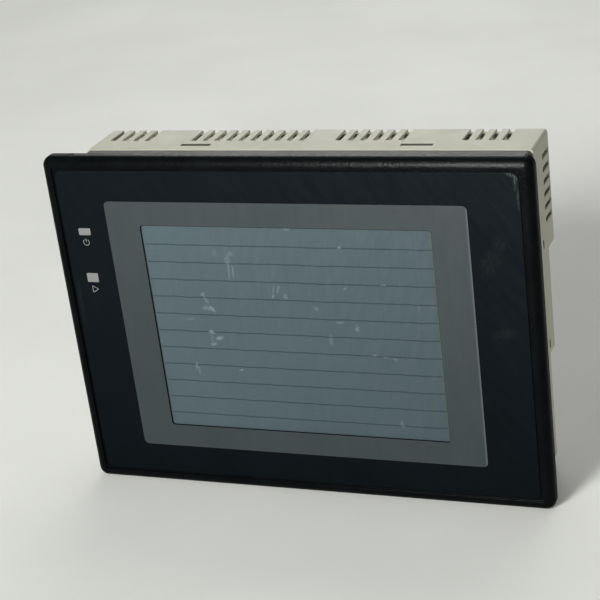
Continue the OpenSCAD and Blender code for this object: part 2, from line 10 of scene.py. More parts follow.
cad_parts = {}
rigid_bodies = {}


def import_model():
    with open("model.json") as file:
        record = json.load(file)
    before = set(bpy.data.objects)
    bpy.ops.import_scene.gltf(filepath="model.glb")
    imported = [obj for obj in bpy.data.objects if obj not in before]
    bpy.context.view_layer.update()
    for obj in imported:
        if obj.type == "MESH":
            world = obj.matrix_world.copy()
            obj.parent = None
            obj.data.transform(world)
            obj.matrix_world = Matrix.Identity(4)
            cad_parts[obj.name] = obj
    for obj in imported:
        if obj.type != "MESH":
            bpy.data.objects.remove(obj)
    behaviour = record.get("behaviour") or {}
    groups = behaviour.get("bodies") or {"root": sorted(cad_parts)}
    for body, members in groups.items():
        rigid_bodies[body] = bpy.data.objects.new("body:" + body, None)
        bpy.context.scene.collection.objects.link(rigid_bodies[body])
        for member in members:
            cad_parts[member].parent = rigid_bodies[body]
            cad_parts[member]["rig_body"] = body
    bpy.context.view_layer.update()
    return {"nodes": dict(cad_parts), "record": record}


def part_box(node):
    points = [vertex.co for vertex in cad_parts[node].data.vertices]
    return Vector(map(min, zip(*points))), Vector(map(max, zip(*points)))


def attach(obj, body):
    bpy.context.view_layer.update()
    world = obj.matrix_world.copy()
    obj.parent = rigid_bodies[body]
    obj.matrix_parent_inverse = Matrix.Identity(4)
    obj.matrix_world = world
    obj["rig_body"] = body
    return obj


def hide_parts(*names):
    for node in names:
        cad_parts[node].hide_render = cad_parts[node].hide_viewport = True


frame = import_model()

MM = 0.001
random.seed(7)

# ---------------------------------------------------------------- places taken from the frame

bezel_lo, bezel_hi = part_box("front_bezel")
surround_lo, surround_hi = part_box("screen_surround")
power_lo, power_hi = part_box("power_window")
run_lo, run_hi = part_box("run_window")
label_lo, label_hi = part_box("rating_label")
overlay_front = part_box("front_sheet")[0].y
touch_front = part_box("touch_panel")[0].y

# Visible screen, between the inner edges of the surround
WINDOW_W = 117.3 * MM
WINDOW_H = 87.2 * MM
WINDOW_R = 1.2 * MM


# ---------------------------------------------------------------- node-tree helpers

def linear(r, g, b):
    """Linear colour of an sRGB triple from 0 to 255."""
    def one(v):
        v /= 255
        return v / 12.92 if v <= 0.04045 else ((v + 0.055) / 1.055) ** 2.4
    return one(r), one(g), one(b), 1.0


def shade(colour, factor):
    """The colour made lighter or darker."""
    return tuple(min(1.0, c * factor) for c in colour[:3]) + (1.0,)


class Finish:
    """One material and short calls that add nodes to it."""

    def __init__(self, name, roughness=0.5, metallic=0.0, specular=0.5, ior=1.5):
        self.material = bpy.data.materials.new(name)
        self.material.use_nodes = True
        self.tree = self.material.node_tree
        self.shader = self.tree.nodes["Principled BSDF"]
        self.set("Roughness", roughness)
        self.set("Metallic", metallic)
        self.set("Specular IOR Level", specular)
        self.set("IOR", ior)
        self.coords = self.tree.nodes.new("ShaderNodeTexCoord").outputs["Object"]

    def set(self, socket, value):
        """Gives a socket of the shader one value all over the surface."""
        self.shader.inputs[socket].default_value = value

    def link(self, output, socket):
        """Links an output to an input, or to the shader's socket of that name."""
        target = self.shader.inputs[socket] if isinstance(socket, str) else socket
        self.tree.links.new(output, target)

    def mapped(self, size, turn=(0, 0, 0)):
        """Object coordinates divided by a size in metres along each axis, after a turn."""
        turned = self.tree.nodes.new("ShaderNodeMapping")
        turned.inputs["Rotation"].default_value = turn
        self.link(self.coords, turned.inputs["Vector"])
        scaled = self.tree.nodes.new("ShaderNodeMapping")
        scaled.inputs["Scale"].default_value = [1 / s for s in size]
        self.link(turned.outputs[0], scaled.inputs["Vector"])
        return scaled.outputs[0]

    def noise(self, size, detail=4, roughness=0.55, turn=(0, 0, 0), distortion=0.0):
        """Noise from 0 to 1 whose features are about as large as size, a number or three of them."""
        size = (size,) * 3 if isinstance(size, (int, float)) else size
        node = self.tree.nodes.new("ShaderNodeTexNoise")
        self.link(self.mapped(size, turn), node.inputs["Vector"])
        node.inputs["Scale"].default_value = 1.0
        node.inputs["Detail"].default_value = detail
        node.inputs["Roughness"].default_value = roughness
        node.inputs["Distortion"].default_value = distortion
        return node.outputs["Fac"]

    def specks(self, pitch, inner, outer, strength=1.0):
        """Scattered round specks about a pitch apart; inner and outer are shares of the pitch."""
        node = self.tree.nodes.new("ShaderNodeTexVoronoi")
        self.link(self.mapped((pitch,) * 3), node.inputs["Vector"])
        node.inputs["Scale"].default_value = 1.0
        return self.ramp(node.outputs["Distance"], inner, outer, strength, 0.0)

    def spot(self, centre, half_x, half_z, angle=0.0):
        """1 at the centre and 0 outside an ellipse in the X-Z plane."""
        place = self.tree.nodes.new("ShaderNodeMapping")
        place.vector_type = "TEXTURE"
        place.inputs["Location"].default_value = (centre[0], 0, centre[1])
        place.inputs["Rotation"].default_value = (0, angle, 0)
        no_limit = 1e3
        place.inputs["Scale"].default_value = (half_x, no_limit, half_z)
        self.link(self.coords, place.inputs["Vector"])
        ball = self.tree.nodes.new("ShaderNodeTexGradient")
        ball.gradient_type = "SPHERICAL"
        self.link(place.outputs[0], ball.inputs["Vector"])
        return ball.outputs["Fac"]

    def axis(self, letter):
        """The X, Y or Z coordinate in metres."""
        node = self.tree.nodes.new("ShaderNodeSeparateXYZ")
        self.link(self.coords, node.inputs[0])
        return node.outputs[letter]

    def ramp(self, value, low, high, to_low=0.0, to_high=1.0):
        """value moved from the range low..high to to_low..to_high, and held inside it."""
        node = self.tree.nodes.new("ShaderNodeMapRange")
        self.link(value, node.inputs["Value"])
        node.inputs["From Min"].default_value = low
        node.inputs["From Max"].default_value = high
        node.inputs["To Min"].default_value = to_low
        node.inputs["To Max"].default_value = to_high
        return node.outputs["Result"]

    def band(self, value, low, high):
        """1 where value is between low and high, else 0."""
        above = self.maths("GREATER_THAN", value, low)
        below = self.maths("LESS_THAN", value, high)
        return self.maths("MULTIPLY", above, below)

    def inside(self, x_range, y_range, z_range):
        """1 inside a box whose ranges are in mm and which lies on both sides of the X = 0 plane, else 0."""
        share = self.band(self.maths("ABSOLUTE", self.axis("X")), x_range[0] * MM, x_range[1] * MM)
        for letter, (low, high) in (("Y", y_range), ("Z", z_range)):
            share = self.maths("MULTIPLY", share, self.band(self.axis(letter), low * MM, high * MM))
        return share

    def maths(self, kind, a, b=0.0):
        """Result of a Math node whose inputs are numbers or outputs of other nodes."""
        node = self.tree.nodes.new("ShaderNodeMath")
        node.operation = kind
        for value, socket in ((a, node.inputs[0]), (b, node.inputs[1])):
            if isinstance(value, (int, float)):
                socket.default_value = value
            else:
                self.link(value, socket)
        return node.outputs[0]

    def mix(self, share, a, b):
        """Colour a where share is 0 and colour b where it is 1."""
        node = self.tree.nodes.new("ShaderNodeMix")
        node.data_type = "RGBA"
        for value, socket in ((share, node.inputs[0]), (a, node.inputs[6]), (b, node.inputs[7])):
            if isinstance(value, (tuple, float, int)):
                socket.default_value = value
            else:
                self.link(value, socket)
        return node.outputs[2]

    def bump(self, height, depth):
        """Relief whose height is depth metres."""
        node = self.tree.nodes.new("ShaderNodeBump")
        node.inputs["Distance"].default_value = depth
        node.inputs["Strength"].default_value = 1.0
        self.link(height, node.inputs["Height"])
        self.link(node.outputs[0], "Normal")


def plastic(name, colour, roughness, mottle=0.06, grain=0.35 * MM, relief=0.008 * MM, specular=0.5,
            dirt=0.0):
    """Moulded plastic: slow colour variation, a fine moulded grain, gloss patches and a little dirt."""
    f = Finish(name, roughness, specular=specular)
    slow = f.ramp(f.noise(22 * MM, detail=3), 0.3, 0.7)
    colours = f.mix(slow, shade(colour, 1 - mottle), shade(colour, 1 + mottle))
    if dirt:
        patches = f.ramp(f.noise(9 * MM, detail=6, roughness=0.65), 0.56, 0.78, 0.0, dirt)
        colours = f.mix(patches, colours, shade(colour, 0.55))
    f.link(colours, "Base Color")
    f.link(f.ramp(f.noise(6 * MM), 0.3, 0.7, roughness - 0.05, roughness + 0.05), "Roughness")
    f.bump(f.noise(grain, detail=2, roughness=0.6), relief)
    return f


def metal(name, colour, roughness):
    """Bare metal: fine drawn lines and patches of different gloss."""
    scratch = (0.25 * MM, 8 * MM, 8 * MM)
    f = Finish(name, roughness, metallic=1.0)
    patches = f.ramp(f.noise(5 * MM), 0.3, 0.7)
    f.link(f.mix(patches, shade(colour, 0.86), shade(colour, 1.08)), "Base Color")
    f.link(f.ramp(f.noise(scratch, detail=3), 0.3, 0.7, roughness - 0.08, roughness + 0.1), "Roughness")
    f.bump(f.noise(scratch, detail=2), 0.004 * MM)
    return f


def bezel_plastic():
    """Near-black grained plastic with dust specks and worn outer edges."""
    base = (0.0014, 0.0019, 0.0021, 1)
    wear_and_highlight_tone = (0.03, 0.031, 0.03, 1)
    dust = (0.05, 0.05, 0.047, 1)
    f = Finish("bezel_plastic", 0.36, specular=0.02)
    near_edge = f.ramp(f.maths("ABSOLUTE", f.axis("Z")), bezel_hi.z - 1.5 * MM, bezel_hi.z)
    worn = f.maths("MULTIPLY", f.ramp(f.noise(1.6 * MM, detail=6, roughness=0.7), 0.55, 0.75), near_edge)
    colours = f.mix(f.ramp(f.noise(14 * MM), 0.35, 0.7), base, shade(base, 1.7))
    colours = f.mix(f.maths("MULTIPLY", worn, 0.25), colours, wear_and_highlight_tone)
    colours = f.mix(f.specks(2.4 * MM, 0.03, 0.06, 0.25), colours, dust)
    f.link(colours, "Base Color")
    f.link(f.ramp(f.noise(3 * MM, detail=5), 0.3, 0.75, 0.30, 0.42), "Roughness")
    f.bump(f.noise(1.0 * MM, detail=4, roughness=0.6), 0.16 * MM)
    return f


# Pale worn places on the overlay, a row each:
# X, Z, half width and half height in mm, clockwise turn in degrees, strength
OVERLAY_SCUFFS = (
    (91.0, 63.0, 1.0, 4.6, 6, 0.42),
    (89.4, 65.0, 2.4, 1.0, 20, 0.40),
    (91.6, 56.0, 0.6, 5.0, 0, 0.30),
    (79.4, 30.7, 4.5, 7.0, 25, 0.05),
    (84.0, 39.0, 4.0, 4.0, 0, 0.05),
    (82.9, 3.0, 6.0, 3.0, -15, 0.05),
    (-90.5, 10.0, 1.0, 12.0, 0, 0.05),
)


def painted_shade_towards_bottom(f, colours, to_dark):
    """The colours with painted shade, darker by up to the given share towards the lower edge of the front.
    """
    low = f.ramp(f.axis("Z"), bezel_hi.z, bezel_lo.z, 0.0, to_dark)
    return f.mix(low, colours, (0, 0, 0, 1))


def marked(f, colours, marks, threads, tone, spread=1.0):
    """The colours with worn marks of a lighter tone, grown by spread and broken up by a fine pattern."""
    for x, z, half_x, half_z, turn, strength in marks:
        place = f.spot((x * MM, z * MM), half_x * spread * MM, half_z * spread * MM, math.radians(turn))
        solid = f.ramp(place, 0.0, 0.7, 0.0, strength)
        colours = f.mix(f.maths("MULTIPLY", solid, threads), colours, tone)
    return colours


def overlay_film():
    """Dark satin film with a fine grain, faint wipe marks, a few worn places and painted shade towards its
    lower edge.
    """
    base = (0.0036, 0.0060, 0.0079, 1)
    wear_and_highlight_tone = (0.14, 0.15, 0.15, 1)
    f = Finish("overlay_film", 0.40, specular=0.02)
    colours = f.mix(f.ramp(f.noise(30 * MM, detail=3), 0.3, 0.7), shade(base, 0.92), shade(base, 1.12))
    threads = f.ramp(f.noise((0.5 * MM, 1, 3 * MM), detail=5, roughness=0.7), 0.42, 0.62)
    colours = marked(f, painted_shade_towards_bottom(f, colours, 0.42), OVERLAY_SCUFFS, threads, wear_and_highlight_tone)
    f.link(colours, "Base Color")
    wiped = f.noise((3 * MM, 1, 18 * MM), detail=4, turn=(0, math.radians(35), 0))
    f.link(f.ramp(wiped, 0.35, 0.7, 0.34, 0.46), "Roughness")
    f.bump(f.noise(0.22 * MM, detail=2), 0.006 * MM)
    return f


def surround_film():
    """Grey printed film with a fine grain, a painted highlight along its right outer edge and painted shade
    towards its lower edge.
    """
    base = linear(52, 59, 61)
    f = Finish("surround_film", 0.5, specular=0.07)
    colours = f.mix(f.ramp(f.noise(35 * MM, detail=2), 0.3, 0.7), shade(base, 0.95), shade(base, 1.06))
    # painted highlight: a paler strip along the right outer edge of the print
    painted_edge_highlight = f.ramp(f.axis("X"), surround_hi.x - 0.9 * MM, surround_hi.x - 0.3 * MM, 0.0, 0.25)
    wear_and_highlight_tone = linear(110, 118, 120)
    colours = f.mix(painted_edge_highlight, painted_shade_towards_bottom(f, colours, 0.22), wear_and_highlight_tone)
    f.link(colours, "Base Color")
    f.link(f.ramp(f.noise((4 * MM, 1, 16 * MM), detail=4), 0.3, 0.7, 0.44, 0.56), "Roughness")
    f.bump(f.noise(0.22 * MM, detail=2), 0.005 * MM)
    return f


# Smears and scratches on the screen, with columns as in OVERLAY_SCUFFS
SCREEN_MARKS = (
    (-29, 32.5, 1.0, 1.4, 0, 0.25),
    (-22.5, 32.2, 1.1, 0.9, 0, 0.50),
    (-24, 29.5, 1.1, 1.8, 0, 0.45),
    (-24, 25, 0.5, 2.8, 2, 0.55),
    (-22.3, 25, 0.4, 2.8, 2, 0.50),
    (-36.5, 15, 0.9, 0.5, -30, 0.65),
    (-35.8, 13, 0.6, 2.2, -25, 0.55),
    (-35, 9, 2.2, 0.9, 0, 0.65),
    (-33.2, 8.3, 1.4, 0.6, 40, 0.95),
    (-43.4, 4, 1.2, 0.5, -15, 0.45),
    (-35.2, -1.4, 1.0, 0.8, 20, 0.95),
    (-32, -3.8, 1.6, 0.7, -20, 0.85),
    (-34.9, -6.5, 1.3, 0.6, -15, 0.95),
    (-35.3, -4.5, 0.5, 1.6, 0, 0.35),
    (-43.8, -16.4, 0.6, 1.6, 5, 0.55),
    (-43, -18.6, 0.4, 1.6, 0, 0.45),
    (-24.7, -17.4, 1.0, 0.4, -20, 0.60),
    (-6.5, 17.6, 0.4, 1.4, 18, 0.55),
    (-4.5, 18, 0.4, 1.6, 18, 0.65),
    (-7, 15, 0.5, 1.0, 25, 0.65),
    (-1.8, 15.2, 0.6, 0.9, -25, 0.85),
    (22.3, 35.7, 0.7, 0.45, 0, 1.00),
    (22.8, 19.2, 1.0, 0.5, -30, 0.50),
    (10.2, 10.3, 1.0, 0.7, 35, 0.40),
    (19, 5, 1.4, 0.5, 0, 0.50),
    (25.8, 2.7, 0.7, 1.8, 0, 0.50),
    (14.6, -2.7, 0.6, 2.2, 0, 0.45),
    (31.4, -8.3, 1.0, 0.4, 0, 0.55),
    (36, -8.8, 1.5, 0.3, 4, 0.45),
    (39.8, -9.6, 0.9, 0.6, 30, 0.35),
    (39.9, -37.5, 0.6, 1.4, -15, 0.45),
    (38, 21, 1.0, 0.4, -5, 0.40),
    (51, 11.8, 0.4, 1.8, 0, 0.30),
    (2, 42.7, 1.1, 0.7, 0, 0.40),
)
COLUMNS = 16                # faint upright bands across the screen
ROW_PITCH = 7.35 * MM       # dark cross lines between the touch rows
ROW_TOP = 35.5 * MM         # height of the highest cross line
ROWS = 11


def touch_screen():
    """Grey-blue screen behind the touch rows, with faint columns and streaks, smears and scratches, and
    painted shade towards its right and lower edges.
    """
    base = linear(71, 85, 90)
    f = Finish("touch_screen", 0.38, specular=0.10)
    x, z = f.axis("X"), f.axis("Z")
    colours = f.mix(f.ramp(f.noise(45 * MM, detail=2), 0.3, 0.7), shade(base, 0.96), shade(base, 1.06))
    streaks = f.ramp(f.noise((0.9 * MM, 1, 60 * MM), detail=3), 0.35, 0.65, 0.0, 0.5)
    colours = f.mix(streaks, colours, shade(base, 1.10))
    column = f.maths("FRACT", f.maths("DIVIDE", f.maths("ADD", x, WINDOW_W / 2), WINDOW_W / COLUMNS))
    near_column = f.ramp(f.maths("ABSOLUTE", f.maths("SUBTRACT", column, 0.5)), 0.46, 0.5, 0.0, 0.35)
    colours = f.mix(near_column, colours, shade(base, 0.88))

    # greenish strips along the right and upper edges, where the rows end
    right = f.ramp(x, WINDOW_W / 2 - 1.25 * MM, WINDOW_W / 2 - 1.05 * MM)
    colours = f.mix(right, colours, linear(74, 88, 84))
    upper = f.ramp(z, WINDOW_H / 2 - 0.6 * MM, WINDOW_H / 2 - 0.4 * MM)
    colours = f.mix(upper, colours, linear(48, 60, 60))

    # dark cross lines, a little wavy; 100 whole rows keep the number positive whose fraction is taken
    wave = f.ramp(f.noise((9 * MM, 1, 200 * MM), detail=1), 0.3, 0.7, -0.14 * MM, 0.14 * MM)
    height = f.maths("SUBTRACT", f.maths("ADD", z, wave), ROW_TOP + ROW_PITCH / 2)
    row = f.maths("FRACT", f.maths("ADD", f.maths("DIVIDE", height, ROW_PITCH), 100))
    from_line = f.maths("ABSOLUTE", f.maths("SUBTRACT", row, 0.5))
    line = f.ramp(from_line, 0.15 * MM / ROW_PITCH, 0.34 * MM / ROW_PITCH, 0.72, 0.0)
    lowest = ROW_TOP - (ROWS - 0.5) * ROW_PITCH
    line = f.maths("MULTIPLY", line, f.band(z, lowest, ROW_TOP + ROW_PITCH / 2))
    line = f.maths("MULTIPLY", line, f.band(x, -WINDOW_W / 2 + 0.8 * MM, WINDOW_W / 2 - 0.6 * MM))
    colours = f.mix(line, colours, linear(36, 52, 58))

    # painted shade: the screen darker by up to 0.16 towards its right edge, and darker towards its lower
    # edge
    painted_shade_to_right = f.ramp(x, -WINDOW_W / 2, WINDOW_W / 2, 0.0, 0.16)
    colours = f.mix(painted_shade_to_right, painted_shade_towards_bottom(f, colours, 0.26), (0, 0, 0, 1))
    threads = f.noise((0.45 * MM, 1, 0.55 * MM), detail=5, roughness=0.7, distortion=1.5)
    smear = (0.22, 0.26, 0.27, 1)
    colours = marked(f, colours, SCREEN_MARKS, f.ramp(threads, 0.44, 0.60), smear, spread=1.5)
    f.link(colours, "Base Color")
    wiped = f.noise((2.5 * MM, 1, 14 * MM), detail=5, turn=(0, math.radians(-20), 0))
    f.link(f.ramp(wiped, 0.35, 0.7, 0.30, 0.46), "Roughness")
    f.bump(f.noise(0.5 * MM, detail=2), 0.002 * MM)
    return f


# Hollows of the rear case darkened with painted shade: ranges of |X|, Y and Z in mm, share of painted shade
CASE_HOLLOWS = (
    ((39.2, 52.2), (26.0, 28.6), (62.7, 64.9), 0.93),       # bracket slots in the top
    ((39.2, 52.2), (23.9, 26.5), (-64.9, -62.7), 0.93),     # bracket slots in the underside
    ((89.2, 91.4), (27.6, 29.2), (-30, 30), 0.93),          # bracket slots in the sides
    ((0, 84), (31, 44.5), (58.5, 64.0), 0.25),              # inside of the cooling slots in the top
    ((88.6, 90.4), (32, 44.5), (28, 60.5), 0.45),           # inside of the cooling slots in the sides
)
# Painted light on the walls of the cooling slots in the top, made pale as if lit: ranges of |X|, Y and Z in
# mm
PAINTED_LIT_SLOT_WALLS = ((0, 84), (33, 44.5), (63.8, 64.8))


def case_plastic():
    """Beige moulded plastic, a little yellowed and dusty, with painted shade in its slots and painted light
    on the walls of the cooling slots in the top.
    """
    base = linear(168, 169, 154)
    f = Finish("case_plastic", 0.55, specular=0.05)
    aged = f.ramp(f.noise(40 * MM, detail=3), 0.3, 0.7)
    colours = f.mix(aged, shade(base, 0.96), linear(171, 169, 150))
    dirt = f.ramp(f.noise(7 * MM, detail=7, roughness=0.7), 0.55, 0.8, 0.0, 0.22)
    colours = f.mix(dirt, colours, linear(120, 116, 100))
    colours = f.mix(f.specks(3.5 * MM, 0.02, 0.05, 0.25), colours, linear(90, 86, 76))
    # painted shade: each hollow darkened towards a near-black brown by its share
    for x_range, y_range, z_range, share in CASE_HOLLOWS:
        hollow_shade = f.maths("MULTIPLY", f.inside(x_range, y_range, z_range), share)
        colours = f.mix(hollow_shade, colours, linear(38, 36, 30))
    # painted light: the walls of the cooling slots in the top made pale, as if lit
    f.link(f.mix(f.inside(*PAINTED_LIT_SLOT_WALLS), colours, linear(232, 231, 214)), "Base Color")
    f.link(f.ramp(f.noise(8 * MM, detail=4), 0.3, 0.7, 0.48, 0.62), "Roughness")
    f.bump(f.noise(0.4 * MM, detail=3, roughness=0.6), 0.012 * MM)
    return f


def circuit_board():
    """Green solder mask with traces a little lighter than the board, and dots of solder."""
    base = linear(22, 92, 52)
    f = Finish("circuit_board", 0.35, specular=0.5)
    bricks = f.tree.nodes.new("ShaderNodeTexBrick")
    f.link(f.mapped((4 * MM, 4 * MM, 4 * MM), turn=(math.radians(90), 0, 0)), bricks.inputs["Vector"])
    bricks.inputs["Scale"].default_value = 1.0
    bricks.inputs["Mortar Size"].default_value = 0.06
    bricks.inputs["Brick Width"].default_value = 1.7
    bricks.inputs["Row Height"].default_value = 0.33
    colours = f.mix(bricks.outputs["Fac"], base, linear(44, 128, 76))
    f.link(f.mix(f.specks(2.2 * MM, 0.10, 0.16), colours, linear(176, 178, 176)), "Base Color")
    f.link(f.ramp(f.noise(6 * MM), 0.3, 0.7, 0.28, 0.42), "Roughness")
    f.bump(bricks.outputs["Fac"], 0.02 * MM)
    return f


def clear_plastic(name, colour, roughness):
    """Clear plastic with a light tint and fine wipe marks."""
    f = Finish(name, roughness, ior=1.49)
    f.set("Transmission Weight", 0.85)
    f.link(f.mix(f.ramp(f.noise(12 * MM), 0.3, 0.7), shade(colour, 0.94), colour), "Base Color")
    wiped = f.noise((1 * MM, 9 * MM, 2 * MM), detail=4)
    f.link(f.ramp(wiped, 0.4, 0.7, roughness, roughness + 0.12), "Roughness")
    return f


def copper_winding(name, colour):
    """Lacquered wire wound in close turns."""
    f = Finish(name, 0.3, metallic=0.8)
    waves = f.tree.nodes.new("ShaderNodeTexWave")
    waves.bands_direction = "Z"
    radians_per_unit = 20       # of the wave texture
    f.link(f.mapped((1, 1, 0.35 * MM * radians_per_unit)), waves.inputs["Vector"])
    waves.inputs["Scale"].default_value = 1.0
    waves.inputs["Distortion"].default_value = 0.4
    f.link(f.mix(waves.outputs["Fac"], shade(colour, 0.6), colour), "Base Color")
    f.link(f.ramp(f.noise(3 * MM), 0.3, 0.7, 0.24, 0.40), "Roughness")
    f.bump(waves.outputs["Fac"], 0.1 * MM)
    return f


def finishes():
    """Every material by the record's slot name."""
    steel = linear(196, 198, 200)
    made = {
        "bezel_plastic": bezel_plastic(),
        "overlay_film": overlay_film(),
        "surround_film": surround_film(),
        "touch_screen": touch_screen(),
        "case_plastic": case_plastic(),
        "circuit_board": circuit_board(),
        "indicator_lens": plastic("indicator_lens", linear(110, 111, 107), 0.35, mottle=0.03,
                                  grain=0.5 * MM, dirt=0.4),
        "rubber": plastic("rubber", (0.012, 0.012, 0.012, 1), 0.75, grain=0.6 * MM, relief=0.02 * MM,
                          specular=0.3),
        "lcd": plastic("lcd", linear(70, 84, 88), 0.25, mottle=0.04),
        "flex_film": plastic("flex_film", linear(176, 122, 48), 0.35, mottle=0.12),
        "sheet_steel": metal("sheet_steel", steel, 0.35),
        "clear_acrylic": clear_plastic("clear_acrylic", linear(236, 240, 242), 0.08),
        "lamp_glass": plastic("lamp_glass", linear(238, 238, 230), 0.15, mottle=0.03),
        "black_plastic": plastic("black_plastic", linear(34, 35, 36), 0.45, mottle=0.15),
        "front_case_plastic": plastic("front_case_plastic", linear(80, 81, 77), 0.55, mottle=0.05,
                                      grain=0.4 * MM, relief=0.012 * MM, specular=0.03, dirt=0.3),
        "brass_post": metal("brass_post", linear(206, 176, 96), 0.3),
        "screw_steel": metal("screw_steel", linear(206, 207, 210), 0.28),
        "chip_resin": plastic("chip_resin", linear(38, 38, 40), 0.5, mottle=0.12, relief=0.015 * MM),
        "alloy": metal("alloy", linear(190, 192, 194), 0.4),
        "winding": plastic("winding", linear(186, 160, 62), 0.4, mottle=0.12),
        "capacitor_sleeve": plastic("capacitor_sleeve", linear(34, 44, 82), 0.3, mottle=0.08),
        "copper_coil": copper_winding("copper_coil", linear(186, 104, 50)),
        "lamp_lens": plastic("lamp_lens", linear(150, 196, 122), 0.15, mottle=0.05),
        "cell_sleeve": plastic("cell_sleeve", linear(64, 112, 164), 0.3, mottle=0.06),
        "contact_metal": metal("contact_metal", linear(222, 206, 160), 0.25),
        "connector_plastic": plastic("connector_plastic", linear(222, 218, 200), 0.45, mottle=0.04),
        "clear_cover": clear_plastic("clear_cover", linear(222, 230, 232), 0.12),
        "port_shell": metal("port_shell", linear(206, 208, 210), 0.3),
        "switch_red": plastic("switch_red", linear(172, 38, 30), 0.4, mottle=0.08),
        "lever_white": plastic("lever_white", linear(232, 230, 222), 0.4, mottle=0.03),
        "label_film": plastic("label_film", linear(206, 207, 204), 0.35, mottle=0.03, grain=0.2 * MM),
    }
    return {slot: f.material for slot, f in made.items()}


# ---------------------------------------------------------------- camera, lights and floor

CAMERA_AZIMUTH = 22.94              # degrees from straight in front towards +X
CAMERA_ELEVATION = 23.01            # degrees
CAMERA_LEAN = 7.37                  # degrees to the right
CAMERA_DISTANCE = 628.1 * MM
CAMERA_AIM = (1.8 * MM, 0, 11.5 * MM)
CAMERA_LENS = 98.07                 # focal length in mm on a sensor 36 mm wide


def camera():
    """The camera at the reference viewing angle."""
    made = bpy.data.objects.new("camera", bpy.data.cameras.new("camera"))
    made.data.sensor_width = 36
    made.data.lens = CAMERA_LENS
    made.data.clip_start = 10 * MM
    made.data.clip_end = 50
    turn = (Matrix.Rotation(math.radians(CAMERA_AZIMUTH), 4, "Z")
            @ Matrix.Rotation(math.radians(90 - CAMERA_ELEVATION), 4, "X")
            @ Matrix.Rotation(math.radians(-CAMERA_LEAN), 4, "Z"))
    made.matrix_world = Matrix.Translation(CAMERA_AIM) @ turn @ Matrix.Translation((0, 0, CAMERA_DISTANCE))
    bpy.context.scene.collection.objects.link(made)
    bpy.context.scene.camera = made


def area_light(name, place, target, size, power):
    """Rectangular soft white light at place that faces target."""
    lamp = bpy.data.lights.new(name, "AREA")
    lamp.shape = "RECTANGLE"
    lamp.size, lamp.size_y = size
    lamp.energy = power
    made = bpy.data.objects.new(name, lamp)
    made.location = place
    made.rotation_mode = "QUATERNION"
    made.rotation_quaternion = (Vector(target) - Vector(place)).to_track_quat("-Z", "Y")
    bpy.context.scene.collection.objects.link(made)
    return made


def lights():
    """A key, a side fill, a lamp and a card that only give shine, a light from behind, and a pale room."""
    key = area_light("key_light", (-0.9, -2.6, 1.2), (0, 0, 0), (0.8, 0.6), 125)
    side = area_light("side_light", (0.8, 0.15, 0.06), (0.09, 0.03, 0.05), (0.3, 0.12), 0.8)
    for made in (key, side):
        made.visible_glossy = False
    shine = area_light("shine_light", (0.046, -0.34, 0.206), (0.09, 0, 0.07), (0.04, 0.15), 19)
    rear_card = area_light("rear_card", (-0.38, 1.14, 0.55), (0, 0, 0.07), (0.64, 0.5), 8.5)
    for made in (shine, rear_card):
        made.visible_diffuse = False
        made.visible_camera = False
    area_light("back_light", (-0.05, 1.1, 1.3), (-0.05, 0.4, 0), (1.2, 1.2), 10)
    world = bpy.data.worlds.new("room")
    world.use_nodes = True
    world.node_tree.nodes["Background"].inputs["Color"].default_value = (0.97, 0.98, 1.0, 1)
    world.node_tree.nodes["Background"].inputs["Strength"].default_value = 0.23
    bpy.context.scene.world = world
    bpy.context.scene.view_settings.view_transform = "Standard"


def floor():
    """Pale floor that the terminal stands on."""
    half = 4.0              # half its side in metres
    height = bezel_lo.z
    mesh = bpy.data.meshes.new("floor")
    corners = [(x, y, height) for x, y in ((-half, -half), (half, -half), (half, half), (-half, half))]
    mesh.from_pydata(corners, [], [(0, 1, 2, 3)])
    made = bpy.data.objects.new("floor", mesh)
    bpy.context.scene.collection.objects.link(made)
    f = Finish("floor_paint", roughness=0.8, specular=0.05)
    patches = f.ramp(f.noise(0.15), 0.35, 0.65)
    f.link(f.mix(patches, linear(213, 214, 208), linear(219, 220, 214)), "Base Color")
    made.data.materials.append(f.material)


# ---------------------------------------------------------------- shapes

SMOOTH_BELOW = math.radians(35)         # shading is smooth over edges flatter than this


def add_object(name, mesh, body, slot):
    """A piece made of mesh that rides on a body and has its slot's material."""
    made = bpy.data.objects.new(name, mesh)
    bpy.context.scene.collection.objects.link(made)
    mesh.materials.append(MATERIALS[slot])
    for face in mesh.polygons:
        face.use_smooth = True
    mesh.set_sharp_from_angle(angle=SMOOTH_BELOW)
    made.modifiers.new("normals", "WEIGHTED_NORMAL").keep_sharp = True
    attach(made, body)
    return made


def body_of(node):
    """Name of the body that a CAD node belongs to."""
    return frame["nodes"][node]["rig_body"]


PIN_Y = 44.4 * MM           # middle of the battery cover's hinge pin
PIN_Z = 54.6 * MM
PIN_REACH = 1.0 * MM        # takes in the pin and the sockets for it in the case
SHARP_ABOVE = math.radians(30)


def by_the_pin(edge):
    """Whether the edge belongs to the hinge pin or its sockets, where there is no room to round it."""
    return all(math.hypot(v.co.y - PIN_Y, v.co.z - PIN_Z) < PIN_REACH for v in edge.verts)


def round_edges(b, radius):
    """Rounds every sharp edge of the mesh, except by the hinge pin."""
    sharp = [e for e in b.edges
             if len(e.link_faces) == 2 and e.calc_face_angle(0) > SHARP_ABOVE and not by_the_pin(e)]
    bmesh.ops.bevel(b, geom=sharp, offset=radius, offset_type="OFFSET", segments=2, profile=0.5,
                    affect="EDGES", clamp_overlap=False)


